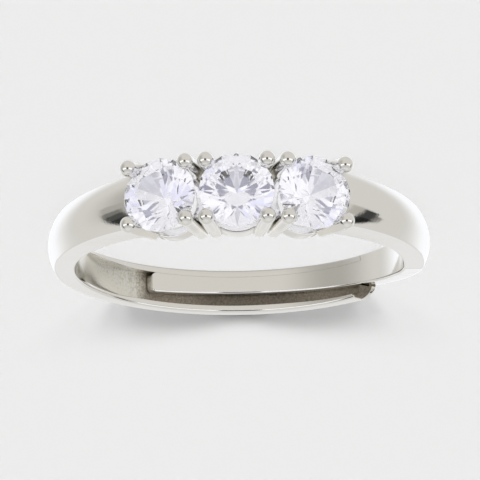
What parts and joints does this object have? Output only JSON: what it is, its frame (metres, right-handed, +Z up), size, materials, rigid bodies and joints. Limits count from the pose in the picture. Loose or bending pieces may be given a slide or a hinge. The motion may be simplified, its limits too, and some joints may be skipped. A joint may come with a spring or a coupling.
{
  "type": "three stone ring",
  "caption": "Three stone ring with round cut stones in ball-tipped prong baskets on a domed, tapering band whose ends slide to adjust.",
  "frame": {"origin": "on the finger's axis, halfway across the band, where the axis of the finger hole crosses the middle of its wall", "axes": "+Z up from the surface that the ring lies on, nearly along the finger; the stones face -Y; the half of the band with the channel is at +X"},
  "size_m": [0.02, 0.0215, 0.0038],
  "materials": {
    "silver": "polished and bright plated, with an unpolished grainy floor in the channel",
    "stone": "faceted and clear, with a faint lavender tint"
  },
  "bodies": {
    "root": {"ring_body": "silver", "stone_left": "stone", "stone_centre": "stone", "stone_right": "stone"}
  },
  "joints": []
}
